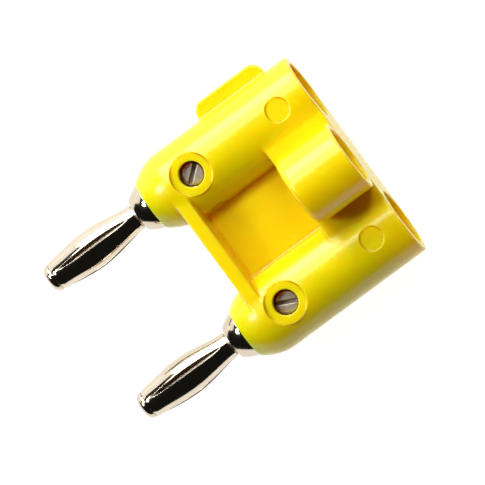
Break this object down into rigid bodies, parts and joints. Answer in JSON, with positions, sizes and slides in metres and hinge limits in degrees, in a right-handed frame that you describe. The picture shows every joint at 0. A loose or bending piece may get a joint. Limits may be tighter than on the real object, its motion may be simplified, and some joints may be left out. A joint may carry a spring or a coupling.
{
  "type": "double banana plug",
  "caption": "Stackable double banana plug: moulded housing with cable collar and side tab, sprung pins, clamp screws and rear sockets.",
  "frame": {"origin": "on the flat back, midway between the two pins and straight under the two clamp screws", "axes": "-X the way the pins point, +X towards the cable end, +Y towards the barrel with the tab, +Z away from the flat back, towards the clamp screws and the cable collar"},
  "size_m": [0.0392, 0.0305, 0.0163],
  "materials": {
    "yellow_plastic": "semi-gloss injection-moulded polypropylene",
    "nickel_plate": "turned brass with bright nickel plating",
    "spring_nickel": "beryllium copper strip with bright nickel plating",
    "screw_steel": "plated steel set screw"
  },
  "bodies": {
    "plug_body": {"housing": "yellow_plastic", "tab_side_contact_body": "nickel_plate", "tab_side_pin_core": "nickel_plate", "plain_side_contact_body": "nickel_plate", "plain_side_pin_core": "nickel_plate"},
    "tab_side_spring": {"tab_side_spring_cage": "spring_nickel"},
    "plain_side_spring": {"plain_side_spring_cage": "spring_nickel"},
    "tab_side_screw": {"tab_side_clamp_screw": "screw_steel"},
    "plain_side_screw": {"plain_side_clamp_screw": "screw_steel"}
  },
  "joints": [
    {"name": "tab_side_spring_spin", "type": "hinge", "parent": "plug_body", "child": "tab_side_spring", "pos_m": [-0.015, 0.00953, 0.0047], "axis": [1, 0, 0], "continuous": true},
    {"name": "plain_side_spring_spin", "type": "hinge", "parent": "plug_body", "child": "plain_side_spring", "pos_m": [-0.015, -0.00953, 0.0047], "axis": [1, 0, 0], "continuous": true},
    {"name": "tab_side_screw_travel", "type": "slide", "parent": "plug_body", "child": "tab_side_screw", "axis": [0, 0, 1], "range_m": [-0.0007, 0.0011]},
    {"name": "plain_side_screw_travel", "type": "slide", "parent": "plug_body", "child": "plain_side_screw", "axis": [0, 0, 1], "range_m": [-0.0007, 0.0011]}
  ]
}
